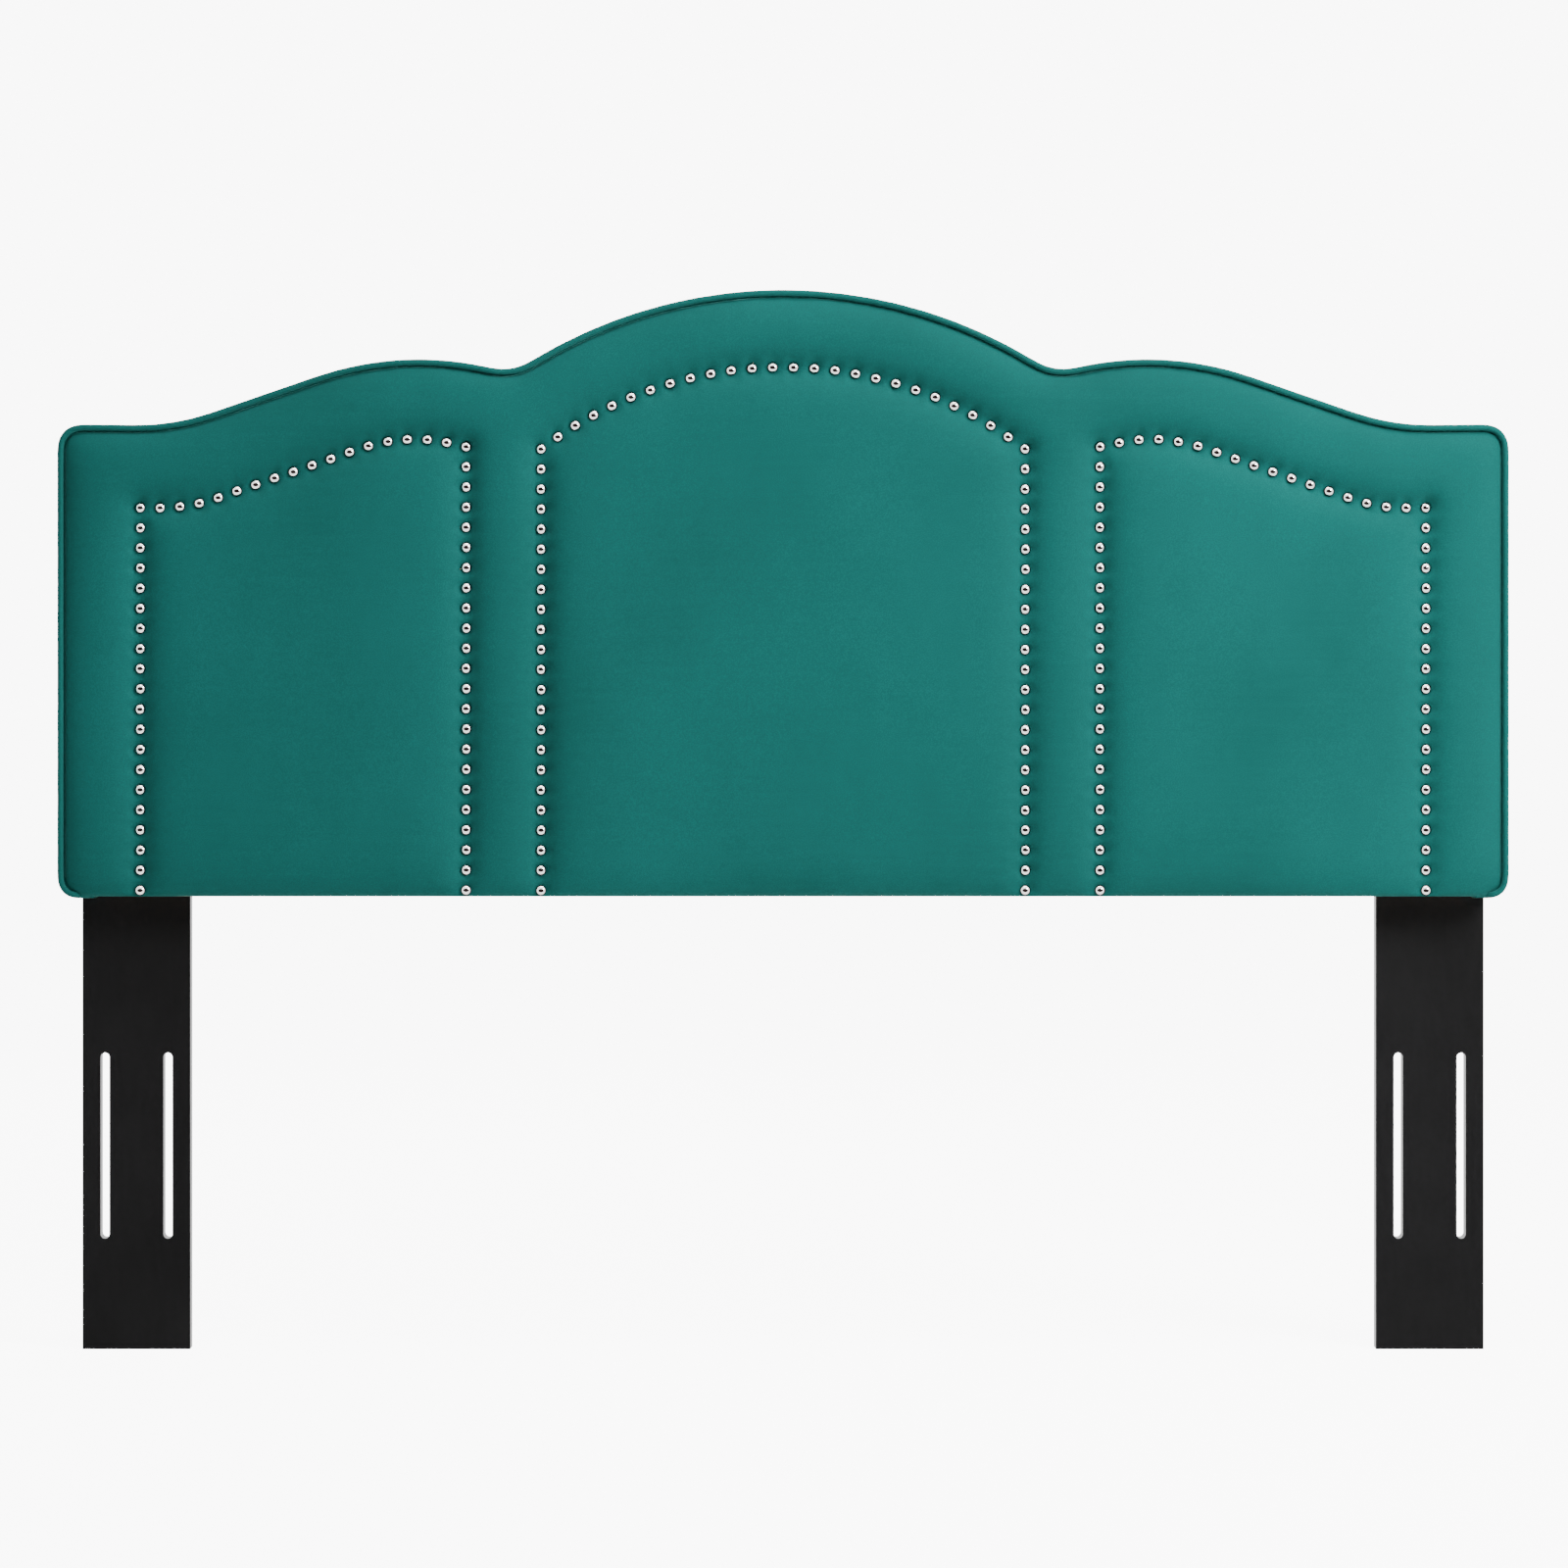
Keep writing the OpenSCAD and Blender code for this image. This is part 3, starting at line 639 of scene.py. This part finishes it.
def foam_block():
    """The foam and its wadding, crowned like the face that they fill, on the board."""
    rim = face_outline(SEAM_INSET + 1.5 * MM)
    xs, px, pz = columns_inside(rim, 0.5 * MM, (220, 2.0, 8.0), (96, 2.0, 8.0))
    py = np.maximum(sampled(*FACE, px, pz) + 2.2 * MM, FRONT_Y)
    py = np.minimum(py, BOARD_LO.y - 3 * MM)
    front = np.stack([px, py, pz], -1).reshape(-1, 3)
    back = front.copy()
    back[:, 1] = BOARD_LO.y
    rows, columns = px.shape
    n = rows * columns
    faces = grid_faces(rows, columns)
    faces += [[i + n for i in quad[::-1]] for quad in faces]
    rim_walk = (list(range(columns)) + [r * columns + columns - 1 for r in range(1, rows)]
                + [(rows - 1) * columns + c for c in range(columns - 2, -1, -1)]
                + [r * columns for r in range(rows - 2, 0, -1)])
    for a, b in zip(rim_walk, rim_walk[1:] + rim_walk[:1]):
        faces.append([b, a, a + n, b + n])
    piece = new_piece("foam_and_wadding", np.vstack([front, back]), faces, "foam")
    face_outward(piece)
    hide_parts("foam_pad", "wadding")
    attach(piece, "headboard")


foam_block()

# ---- The piping, from one bottom corner over the top to the other ----

PIPING_TURN = 26 * MM                     # how far the piping runs under a bottom corner
BOXING_TURN = 40 * MM                     # and the boxing
TAIL_TUCK = 11 * MM                       # how far back the piping's ends are tucked
TAIL = 16 * MM                            # over this length of them


def open_run(loop, turn):
    """The part of a loop from under the right bottom corner, over the top, to the left one."""
    low = loop[:, 1].min()
    bottom = (np.abs(loop[:, 0]) < loop[:, 0].max() - turn) & (loop[:, 1] < low + 2 * MM)
    start = np.flatnonzero(~bottom & np.roll(bottom, 1))[0]
    turned = np.roll(loop, -start, 0)
    return turned[: len(loop) - int(bottom.sum())]


def uneven(count, window):
    """Random values along a line, averaged over a window of points."""
    return np.convolve(RNG.normal(0, 1, count), np.ones(window) / window, "same")


def swept(name, path, ring, slot, closed):
    """Sweeps a cross-section along a path: ring(i) gives (out, y) pairs at point i."""
    normal = outward(path, closed=False)
    verts = []
    for i, (point, out) in enumerate(zip(path, normal)):
        for o, y in ring(i):
            spot = point + o * out
            verts.append((spot[0], y, spot[1]))
    sides = len(ring(0))
    faces = grid_faces(len(path), sides, closed)
    if closed:
        faces += [list(range(sides)), list(range(len(verts) - sides, len(verts)))]
    piece = new_piece(name, verts, faces, slot)
    face_outward(piece)
    return piece


def piping(name, node, radius, slot, ripples):
    """A round cord along the outline, uneven by ripples, its ends tucked back and away."""
    spacing = 3 * MM
    path = open_run(OUTLINE - PIPING_R * outward(OUTLINE), PIPING_TURN)
    path = resampled(path, spacing, closed=False)
    places = np.arange(len(path))
    from_end = np.minimum(places, places[::-1]) * spacing
    tuck = TAIL_TUCK * np.clip(1 - from_end / TAIL, 0, 1) ** 2
    ripple = uneven(len(path), 5)
    sides = 14

    def ring(i):
        points = []
        for k in range(sides):
            a = 2 * math.pi * k / sides
            r = radius * (1 + ripples * ripple[i] * math.cos(a + 0.21 * i))
            points.append((r * math.cos(a), SEAM_Y + tuck[i] + r * math.sin(a)))
        return points

    piece = swept(name, path, ring, slot, closed=True)
    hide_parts(node)
    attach(piece, "headboard")


piping("velvet_piping", "piping_cover", PIPING_R, "velvet", 0.035)
piping("piping_core", "piping_cord", 0.68 * PIPING_R, "cord", 0.0)

# ---- The boxing: the side strip behind the piping, turned onto the back ----


# The boxing's section, each as (mm out from the outline, share of the way back): the seam's
# allowance under the face, the side with its slight belly, and the hem on the back.
ALLOWANCE = [(-9.8, 0.064), (-6.5, 0.062), (-3.0, 0.062), (-1.2, 0.075), (-0.7, 0.12)]
SIDE = [(-0.2, 0.25), (0.0, 0.42), (0.0, 0.6), (-0.2, 0.76), (-0.7, 0.9), (-1.2, 0.96)]
HEM = [(-2.2, 0.99), (-4.5, 1.0), (-9.0, 1.0), (-15.0, 1.0), (-17.0, 1.0)]


def boxing():
    path = resampled(open_run(OUTLINE, BOXING_TURN), 4 * MM, closed=False)
    wave = uneven(len(path), 15)
    flutter = uneven(len(path), 9)
    depth = BACK_Y - SEAM_Y

    def ring(i):
        points = []
        for out, back in ALLOWANCE + SIDE + HEM:
            belly = math.sin(math.pi * back)
            swell = belly * (0.9 * wave[i] * math.sin(2.0 * back * math.pi) + 0.5 * flutter[i])
            points.append(((out + 0.5 * belly + swell) * MM, SEAM_Y + depth * back))
        return points

    piece = swept("velvet_boxing", path, ring, "velvet", closed=False)
    thickened(piece, 1.0 * MM, -1.0)
    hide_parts("boxing_band")
    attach(piece, "headboard")


boxing()

# ---- The black dust cover on the back ----


LEG_FREE = 630 * MM                       # the legs stand behind the cloth from here outwards
PLEAT = 41 * MM                           # the spacing of the pleats between the staples


def dust_cover():
    """Thin cloth stapled at its edge: slack ripples in the open, small pleats at the staples."""
    edge = softened(resampled(front_loop("dust_cover"), 6 * MM), 2)
    xs, px, pz = columns_inside(edge, 0.3 * MM, (150, 4.0, 11.0), (64, 4.0, 11.0))
    gap = loop_distance(px, pz, edge)
    away = np.clip(gap / SEARCH, 0, 1)
    ripples = np.sin(31 * px + 9 * pz) + 0.7 * np.sin(18 * pz - 14 * px + 2) + 0.5 * np.sin(55 * px + 1)
    clear = np.clip((LEG_FREE - np.abs(px)) / (30 * MM), 0, 1)     # 1 well away from the legs
    wave = ripples / 2.2 * (0.35 + 0.45 * clear) - 0.35 + 0.25 * clear
    py = (DUST_LO.y + DUST_HI.y) / 2 + away * wave * MM
    pleats = np.sin(2 * math.pi * px / PLEAT) * np.exp(-gap / (20 * MM)) * 0.15 * MM
    verts = np.stack([px, py + pleats, pz], -1).reshape(-1, 3)
    piece = new_piece("dust_cloth", verts, grid_faces(*px.shape, flip=True), "dust_cloth")
    thickened(piece, 0.3 * MM, 0.0)
    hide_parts("dust_cover")
    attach(piece, "headboard")


dust_cover()

# ---- Legs, and the frame's own parts ----


def rounded_copy(node, name, slot, width, body, segments=2):
    """A CAD solid with its sharp edges broken by a small round."""
    work = welded_copy(node)
    bmesh.ops.dissolve_limit(work, angle_limit=math.radians(1), verts=work.verts, edges=work.edges)
    mesh = bpy.data.meshes.new(name)
    work.to_mesh(mesh)
    work.free()
    piece = bpy.data.objects.new(name, mesh)
    bpy.context.collection.objects.link(piece)
    mesh.materials.clear()
    mesh.materials.append(MATERIALS[slot])
    mesh.polygons.foreach_set("use_smooth", [True] * len(mesh.polygons))
    rounding = piece.modifiers.new("rounding", "BEVEL")
    rounding.width = width
    rounding.segments = segments
    rounding.limit_method = "ANGLE"
    rounding.angle_limit = math.radians(40)
    weighting = piece.modifiers.new("weighting", "WEIGHTED_NORMAL")
    weighting.weight = 100
    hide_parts(node)
    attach(piece, body)


for side in ("left", "right"):
    rounded_copy(f"leg_{side}", f"lacquered_leg_{side}", "leg_paint", 1.4 * MM, "legs", 3)
    rounded_copy(f"leg_bolts_{side}", f"socket_bolts_{side}", "zinc_steel", 0.5 * MM, "headboard")
    rounded_copy(f"flat_washers_{side}", f"round_washers_{side}", "zinc_steel", 0.2 * MM, "headboard")

# The nodes that show as the CAD has them, by the start of their names
LOOKS = {
    "face_board": "plywood",
    "bottom_rail": "pine_across",
    "top_rail": "pine_across",
    "corner_blocks": "pine_across",
    "side_rail": "pine_upright",
    "leg_stile": "pine_upright",
    "center_stile": "pine_upright",
    "board_screws": "yellow_zinc",
    "tee_nuts": "yellow_zinc",
    "spring_washers": "zinc_steel",
    "cover_staples": "staple_wire",
    "dust_cover_staples": "staple_wire",
}
for start, look in LOOKS.items():
    for node in [name for name in NODES if name.startswith(start)]:
        mesh = NODES[node].data
        mesh.materials.clear()
        mesh.materials.append(MATERIALS[look])

# ---- Floor, lights and sky ----


def plain_floor():
    """A matt floor that glows white to the camera alone and that gloss doesn't see."""
    mesh = bpy.data.meshes.new("floor")
    half = 30.0
    corners = [(-half, -half, 0), (half, -half, 0), (half, half, 0), (-half, half, 0)]
    mesh.from_pydata(corners, [], [(0, 1, 2, 3)])
    floor = bpy.data.objects.new("floor", mesh)
    bpy.context.collection.objects.link(floor)
    material, tree, shader = new_material("studio_floor")
    shader.inputs["Base Color"].default_value = (0.9, 0.9, 0.9, 1)
    shader.inputs["Roughness"].default_value = 0.9
    glow = add(tree, "ShaderNodeEmission", Strength=8.6)
    path = add(tree, "ShaderNodeLightPath")
    both = add(tree, "ShaderNodeAddShader")
    pick = add(tree, "ShaderNodeMixShader")
    tree.links.new(shader.outputs[0], both.inputs[0])
    tree.links.new(glow.outputs[0], both.inputs[1])
    tree.links.new(path.outputs["Is Camera Ray"], pick.inputs[0])
    tree.links.new(shader.outputs[0], pick.inputs[1])
    tree.links.new(both.outputs[0], pick.inputs[2])
    tree.links.new(pick.outputs[0], tree.nodes["Material Output"].inputs["Surface"])
    mesh.materials.append(material)
    floor.visible_glossy = False


def softbox(name, place, target, size, power):
    data = bpy.data.lights.new(name, "AREA")
    data.shape = "RECTANGLE"
    data.size, data.size_y = size
    data.energy = power
    lamp = bpy.data.objects.new(name, data)
    lamp.location = place
    lamp.rotation_euler = (Vector(target) - Vector(place)).to_track_quat("-Z", "Y").to_euler()
    bpy.context.collection.objects.link(lamp)


DOORWAY = (0.92, 0.58)                    # half its width and height, as parts of a direction
LIT = 0.21                                # what the white room gives to matt surfaces
SEEN_BY_CAMERA = 9


def studio_sky():
    """A white room. Only gloss sees its dark doorway, in front, and its dark band, to the sides."""
    world = bpy.data.worlds.new("studio")
    bpy.context.scene.world = world
    world.use_nodes = True
    tree = world.node_tree
    background = tree.nodes["Background"]
    coords = add(tree, "ShaderNodeTexCoord")
    squeeze = add(tree, "ShaderNodeMapping")
    squeeze.inputs["Scale"].default_value = (1 / DOORWAY[0], 0.5, 1 / DOORWAY[1])
    squeeze.inputs["Location"].default_value = (0, 0.5, 0)      # y: 0 in front, 1 behind
    tree.links.new(coords.outputs["Generated"], squeeze.inputs["Vector"])
    span = add(tree, "ShaderNodeVectorMath", operation="LENGTH")
    tree.links.new(squeeze.outputs["Vector"], span.inputs[0])
    doorway = ramp(tree, span.outputs["Value"], [(0.88, (0.010, 0.005, 0.005)), (0.97, (1, 1, 1))])
    ahead = add(tree, "ShaderNodeVectorMath", operation="DOT_PRODUCT")
    ahead.inputs[1].default_value = (0, -0.5, 0)
    tree.links.new(coords.outputs["Generated"], ahead.inputs[0])
    centred = add(tree, "ShaderNodeMath", operation="ADD")      # 1 in front, 0 behind
    centred.inputs[1].default_value = 0.5
    tree.links.new(ahead.outputs["Value"], centred.inputs[0])
    white, dark = (2.6, 2.6, 2.6), (0.05, 0.05, 0.05)
    room = ramp(tree, centred.outputs["Value"], [(0.34, white), (0.44, dark), (0.58, dark), (0.63, white)])
    seen = blend_colours(tree, 1.0, room, doorway, "MULTIPLY")
    path = add(tree, "ShaderNodeLightPath")
    lit = blend_colours(tree, path.outputs["Is Camera Ray"], (*grey(LIT), 1), (*grey(SEEN_BY_CAMERA), 1))
    colour = blend_colours(tree, path.outputs["Is Glossy Ray"], lit, seen)
    tree.links.new(colour, background.inputs["Color"])
    background.inputs["Strength"].default_value = 1.0


plain_floor()
studio_sky()
MIDDLE = (0, 0, 0.85)
softbox("key", (2.1, -1.9, 2.1), (0.25, 0, 0.8), (1.1, 1.1), 92)
softbox("top", (0.3, -0.9, 3.2), MIDDLE, (2.6, 0.7), 42)
softbox("back_wash", (0.0, 3.0, 2.2), MIDDLE, (3.0, 1.6), 40)
